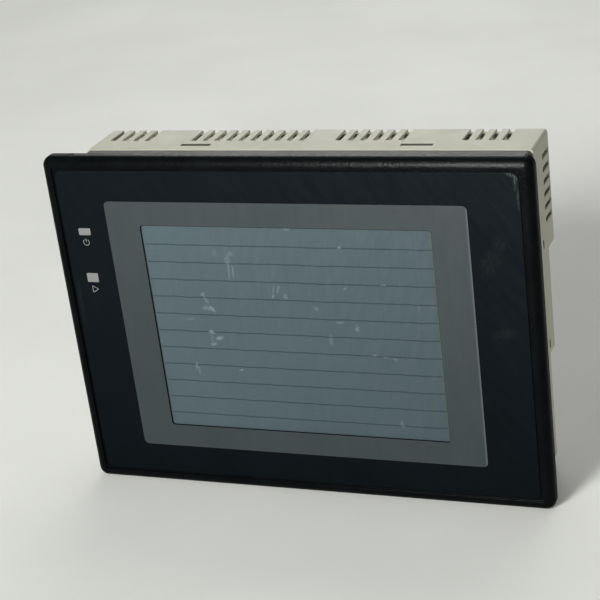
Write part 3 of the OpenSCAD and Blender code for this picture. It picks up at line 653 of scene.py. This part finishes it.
def rounded_copy(node, radius):
    """The CAD node's shape with rounded edges, which stands for the node."""
    b = bmesh.new()
    b.from_mesh(frame["nodes"][node].data)
    bmesh.ops.remove_doubles(b, verts=b.verts, dist=0.002 * MM)
    bmesh.ops.dissolve_limit(b, angle_limit=math.radians(0.5), verts=b.verts, edges=b.edges)
    round_edges(b, radius)
    mesh = bpy.data.meshes.new(node + "_shape")
    b.to_mesh(mesh)
    b.free()
    made = add_object(node + "_shape", mesh, body_of(node), SLOTS[node])
    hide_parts(node)
    return made


def arc(centre, radius, start, end, steps):
    """Points along an arc, angles in degrees."""
    turns = [math.radians(start + (end - start) * i / steps) for i in range(steps + 1)]
    return [(centre[0] + radius * math.cos(t), centre[1] + radius * math.sin(t)) for t in turns]


def circle(centre, radius, count):
    """Outline of a circle with count points."""
    return arc(centre, radius, 0, 360 - 360 / count, count - 1)


def round_rectangle(centre, width, height, radius, steps=6):
    """Outline of a rectangle with round corners."""
    points = []
    for i, (side_x, side_z) in enumerate(((1, 1), (-1, 1), (-1, -1), (1, -1))):
        corner = (centre[0] + side_x * (width / 2 - radius), centre[1] + side_z * (height / 2 - radius))
        points += arc(corner, radius, 90 * i, 90 * (i + 1), steps)
    return points


def prism(b, outline, low, high, place=lambda u, v, w: (u, w, v)):
    """Solid between low and high over an outline; place turns (u, v, w) into X, Y, Z."""
    loops = [[b.verts.new(place(u, v, w)) for u, v in outline] for w in (low, high)]
    count = len(outline)
    b.faces.new(loops[0])
    b.faces.new(reversed(loops[1]))
    for i in range(count):
        j = (i + 1) % count
        b.faces.new((loops[0][j], loops[0][i], loops[1][i], loops[1][j]))


def ring(b, outer, inner, low, high, place=lambda u, v, w: (u, w, v)):
    """Solid between low and high, bounded by two outlines with as many points each."""
    loops = [[b.verts.new(place(u, v, w)) for u, v in line]
             for w in (low, high) for line in (outer, inner)]
    outer_low, inner_low, outer_high, inner_high = loops
    count = len(outer)
    for i in range(count):
        j = (i + 1) % count
        b.faces.new((outer_low[i], outer_low[j], inner_low[j], inner_low[i]))
        b.faces.new((outer_high[j], outer_high[i], inner_high[i], inner_high[j]))
        b.faces.new((outer_low[j], outer_low[i], outer_high[i], outer_high[j]))
        b.faces.new((inner_low[i], inner_low[j], inner_high[j], inner_high[i]))


def upright(u, v, w):
    """Place of an outline that lies flat, with its depth along Z."""
    return u, v, w


def block(b, centre, size, radius=0.0):
    """Box with a centre and a size, with its edges rounded by radius if there is one."""
    made = bmesh.ops.create_cube(b, size=1.0)["verts"]
    for v in made:
        v.co = Vector(centre) + Vector(v.co[i] * size[i] for i in range(3))
    if radius:
        edges = list({e for v in made for e in v.link_edges})
        bmesh.ops.bevel(b, geom=edges, offset=radius, offset_type="OFFSET", segments=2, profile=0.5,
                        affect="EDGES", clamp_overlap=True)


def piece(name, build, body, slot):
    """A piece whose mesh is filled in by build(b)."""
    b = bmesh.new()
    build(b)
    bmesh.ops.recalc_face_normals(b, faces=b.faces)
    mesh = bpy.data.meshes.new(name)
    b.to_mesh(mesh)
    b.free()
    return add_object(name, mesh, body, slot)


# ---------------------------------------------------------------- pieces on the front

FILM = 0.02 * MM            # how far a print stands proud of what it is on
SINK = 0.01 * MM            # how far a print goes into what it is on
EDGE_SHOWS = 0.16 * MM      # how much narrower the cut edge makes the screen
ICON_DROP = 3.0 * MM        # from the lower edge of an indicator window to the middle of its icon


def window_edge(b):
    """Dark cut edge of the overlay round the screen."""
    outer = round_rectangle((0, 0), WINDOW_W + SINK, WINDOW_H + SINK, WINDOW_R)
    inner = round_rectangle((0, 0), WINDOW_W - EDGE_SHOWS, WINDOW_H - EDGE_SHOWS, WINDOW_R)
    ring(b, outer, inner, surround_lo.y + 0.05 * MM, touch_front + SINK)


def power_icon(b):
    """Open ring with an upright bar."""
    centre = ((power_lo.x + power_hi.x) / 2, power_lo.z - ICON_DROP)
    start, end = 125, 360 + 55              # degrees, so that the ring is open at the top
    open_ring = arc(centre, 1.4 * MM, start, end, 32) + arc(centre, 1.12 * MM, end, start, 32)
    bar = round_rectangle((centre[0], centre[1] + 0.9 * MM), 0.28 * MM, 1.5 * MM, 0.12 * MM)
    for outline in (open_ring, bar):
        prism(b, outline, overlay_front - FILM, overlay_front + SINK)


def round_triangle(centre, reach, radius, first_turn, steps=6):
    """Outline of a triangle with round corners, the first of them in the direction of first_turn."""
    outline = []
    for turn in (first_turn, first_turn + 120, first_turn + 240):
        t = math.radians(turn)
        corner = (centre[0] + reach * math.cos(t), centre[1] + reach * math.sin(t))
        outline += arc(corner, radius, turn - 60, turn + 60, steps)
    return outline


def run_icon(b):
    """Outlined triangle that points to the right."""
    centre = ((run_lo.x + run_hi.x) / 2, run_lo.z - ICON_DROP)
    outer = round_triangle(centre, 1.25 * MM, 0.36 * MM, 0)
    inner = round_triangle(centre, 1.25 * MM, 0.08 * MM, 0)
    ring(b, outer, inner, overlay_front - FILM, overlay_front + SINK)


# ---------------------------------------------------------------- pieces on the back

def label_print(b):
    """Frame and plain rules of an empty rating label."""
    centre = ((label_lo.x + label_hi.x) / 2, (label_lo.z + label_hi.z) / 2)
    back = label_hi.y + FILM
    face = label_hi.y - SINK
    margins = 3 * MM
    width = label_hi.x - label_lo.x - margins
    height = label_hi.z - label_lo.z - margins
    outer = round_rectangle(centre, width, height, 0.6 * MM)
    inner = round_rectangle(centre, width - 0.5 * MM, height - 0.5 * MM, 0.35 * MM)
    ring(b, outer, inner, face, back)
    for row in (-2, -1, 0, 1):
        rule = round_rectangle((centre[0], centre[1] + row * 5 * MM), width - 4 * MM, 0.3 * MM, 0.1 * MM)
        prism(b, rule, face, back)
    upright_rule = round_rectangle((centre[0] - 8 * MM, centre[1] - 2.5 * MM), 0.3 * MM, 15 * MM, 0.1 * MM)
    prism(b, upright_rule, face - SINK / 2, back + SINK / 2)


def serial_contacts(insert):
    """Nine sockets of a serial port: five in the wide row and four in the narrow one."""
    low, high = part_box(insert)
    middle = (low + high) / 2
    pitch = 2.77 * MM

    def build(b):
        for count, offset in ((5, -1.42 * MM), (4, 1.42 * MM)):
            for i in range(count):
                centre = (middle.x + (i - (count - 1) / 2) * pitch, middle.y + offset)
                outer = circle(centre, 0.57 * MM, 20)
                inner = circle(centre, 0.38 * MM, 20)
                ring(b, outer, inner, low.z + 0.15 * MM, low.z + 5 * MM, upright)
    return build


def printer_contacts(b):
    """Spring blades on both sides of the printer connector's tongue."""
    low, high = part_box("printer_insert")
    middle = (low + high) / 2
    pitch = 1.6 * MM
    blade = (0.5 * MM, 3.6 * MM, 0.16 * MM)
    for i in range(18):
        for side in (-1, 1):
            centre = (middle.x + (i - 8.5) * pitch, high.y - 2.2 * MM, middle.z + side * 1.2 * MM)
            block(b, centre, blade, 0.04 * MM)


def expansion_contacts(b):
    """Square pins in the expansion connector."""
    low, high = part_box("expansion_connector")
    middle = (low + high) / 2
    pitch = 2 * MM
    pin = (0.5 * MM, 2.7 * MM, 0.5 * MM)
    for i in range(16):
        for side in (-1, 1):
            centre = (middle.x + (i - 7.5) * pitch, high.y - 1.7 * MM, middle.z + side * 1.3 * MM)
            block(b, centre, pin, 0.1 * MM)


def lid_arrow(b):
    """Moulded triangle on the battery cover that points to its grip."""
    low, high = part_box("battery_cover")
    centre = ((low.x + high.x) / 2, low.z + 9.5 * MM)
    outline = round_triangle(centre, 1.6 * MM, 0.3 * MM, 270, 5)
    prism(b, outline, high.y - 0.05 * MM, high.y + 0.2 * MM)
    round_edges(b, 0.06 * MM)


def switch_marks(b):
    """Moulded ticks beside the levers of the setting switch."""
    body_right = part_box("dip_body")[1].x
    face = label_lo.y               # the label lies on the same face of the case
    for i in range(1, 7):
        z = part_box("dip_lever_%d" % i)[0].z + 0.6 * MM
        length = (1.4 if i % 2 else 2.2) * MM
        centre = (body_right + 2.5 * MM + length / 2, face + 0.05 * MM, z)
        block(b, centre, (length, 0.2 * MM, 0.4 * MM), 0.06 * MM)


# ---------------------------------------------------------------- pieces on the boards

LEG_PITCH = 1.27 * MM


def gull_leg(b, root, away):
    """Chip leg from root down to the board, where it lies flat; away is (1, 0) for +X, (0, -1) for -Z."""
    reach, high, width, thick = 1.5 * MM, 1.3 * MM, 0.4 * MM, 0.15 * MM
    # side view: distance from the chip and height above the board
    profile = ((-0.2 * MM, high), (0.5 * MM, high), (0.85 * MM, thick), (reach, thick),
               (reach, 0), (0.7 * MM, 0), (0.38 * MM, high - thick), (-0.2 * MM, high - thick))
    along_x = away[0] != 0
    sign = away[0] + away[1]
    prism(b, profile, -width / 2, width / 2,
          lambda u, v, w: (root[0] + (sign * u if along_x else w), root[1] + v,
                           root[2] + (w if along_x else sign * u)))


def chip_legs(b):
    """Legs on four sides of the processor and on two sides of each memory chip."""
    low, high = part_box("processor_chip")
    middle = (low + high) / 2
    for i in range(20):
        across = (i - 9.5) * LEG_PITCH
        for side in (-1, 1):
            gull_leg(b, (low.x if side < 0 else high.x, low.y, middle.z + across), (side, 0))
            gull_leg(b, (middle.x + across, low.y, low.z if side < 0 else high.z), (0, side))
    low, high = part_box("memory_chips")
    half_x, half_z = 9 * MM, 5 * MM         # half the size of one memory chip
    for middle_x in (low.x + half_x, high.x - half_x):
        for middle_z in (low.z + half_z, high.z - half_z):
            for i in range(12):
                for side in (-1, 1):
                    x = middle_x + (i - 5.5) * LEG_PITCH
                    gull_leg(b, (x, low.y, middle_z + side * half_z), (0, side))


def board_parts():
    """Places of small parts on the free field of the main board: X, Z, length, turned or not."""
    places = []
    for column in range(19):
        for row in range(5):
            if random.random() < 0.7:
                x = (column - 9) * 6.4 * MM + random.uniform(-0.8, 0.8) * MM
                z = -26 * MM - row * 4.6 * MM + random.uniform(-0.5, 0.5) * MM
                places.append((x, z, random.choice((2.0, 3.2)) * MM, random.random() < 0.4))
    return places


SMALL_PARTS = board_parts()


def small_parts(ends):
    """Bodies of the small parts, or their metal ends."""
    board_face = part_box("main_board")[1].y

    def build(b):
        for x, z, length, turned in SMALL_PARTS:
            width = length * 0.55
            tall = 0.6 * MM if ends else 0.55 * MM
            for side in ((-1, 1) if ends else (0,)):
                offset = side * length * 0.42
                along = length * 0.2 if ends else length * 0.8
                across = width * 1.04 if ends else width
                centre = (x if turned else x + offset, board_face + tall / 2, z + offset if turned else z)
                size = (across, tall, along) if turned else (along, tall, across)
                block(b, centre, size, 0.08 * MM)
    return build


def capacitor_lids(b):
    """Scored metal tops of the three capacitors."""
    low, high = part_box("capacitors")
    radius = (high.z - low.z) / 2
    for middle_x in (low.x + radius, (low.x + high.x) / 2, high.x - radius):
        centre = (middle_x, (low.z + high.z) / 2)
        ring(b, circle(centre, radius * 0.82, 36), circle(centre, radius * 0.70, 36),
             high.y - 0.05 * MM, high.y + 0.25 * MM)
        for turn in (0, 90, 180, 270):
            wedge = [centre] + arc(centre, radius * 0.68, turn + 4, turn + 86, 8)
            outwards = math.radians(turn + 45)
            shift_x, shift_z = 0.25 * MM * math.cos(outwards), 0.25 * MM * math.sin(outwards)
            prism(b, [(x + shift_x, z + shift_z) for x, z in wedge],
                  high.y - 0.05 * MM, high.y + 0.12 * MM)


# ---------------------------------------------------------------- the scene

camera()
lights()
floor()

MATERIALS = finishes()
SLOTS = {part["node"]: part["material_slot"] for part in frame["record"]["subparts"]}

# Edge radius in mm of the pieces that stand for the CAD nodes
EDGE_RADII = (
    (0.03, "rating_label"),
    (0.05, "touch_tail screen_surround touch_panel"),
    (0.08, "front_sheet lcd_cable serial_insert_a serial_insert_b printer_insert battery_contacts"),
    (0.12, "serial_shell_a serial_shell_b printer_shell jack_screws terminal_screws case_screws"),
    (0.12, "board_screws power_window run_window dip_body expansion_connector shield_plate lcd_frame"),
    (0.12, "main_board port_board switch_board inverter_board indicator_board lcd_board lcd_glass"),
    (0.12, "board_posts heat_sink"),
    (0.15, "front_bezel dip_lever_1 dip_lever_2 dip_lever_3 dip_lever_4 dip_lever_5 dip_lever_6"),
    (0.15, "battery_cover indicator_lamps"),
    (0.20, "panel_gasket terminal_block terminal_cover reset_switch processor_chip memory_chips"),
    (0.20, "light_guide"),
    (0.25, "front_case reset_button lamp_holders backlight_lamp"),
    (0.22, "rear_case"),
    (0.35, "expansion_cover buzzer battery inverter_coil transformer capacitors"),
)
for radius, nodes in EDGE_RADII:
    for node in nodes.split():
        rounded_copy(node, radius * MM)

piece("window_edge", window_edge, body_of("screen_surround"), "overlay_film")
piece("power_icon", power_icon, body_of("front_sheet"), "indicator_lens")
piece("run_icon", run_icon, body_of("front_sheet"), "indicator_lens")
piece("label_print", label_print, body_of("rating_label"), "black_plastic")
for port in ("a", "b"):
    insert = "serial_insert_" + port
    piece("serial_contacts_" + port, serial_contacts(insert), body_of(insert), "contact_metal")
piece("printer_contacts", printer_contacts, body_of("printer_insert"), "contact_metal")
piece("expansion_contacts", expansion_contacts, body_of("expansion_connector"), "contact_metal")
piece("lid_arrow", lid_arrow, body_of("battery_cover"), "case_plastic")
piece("switch_marks", switch_marks, body_of("rear_case"), "case_plastic")
piece("chip_legs", chip_legs, body_of("main_board"), "contact_metal")
piece("small_part_bodies", small_parts(ends=False), body_of("main_board"), "chip_resin")
piece("small_part_ends", small_parts(ends=True), body_of("main_board"), "contact_metal")
piece("capacitor_lids", capacitor_lids, body_of("capacitors"), "alloy")
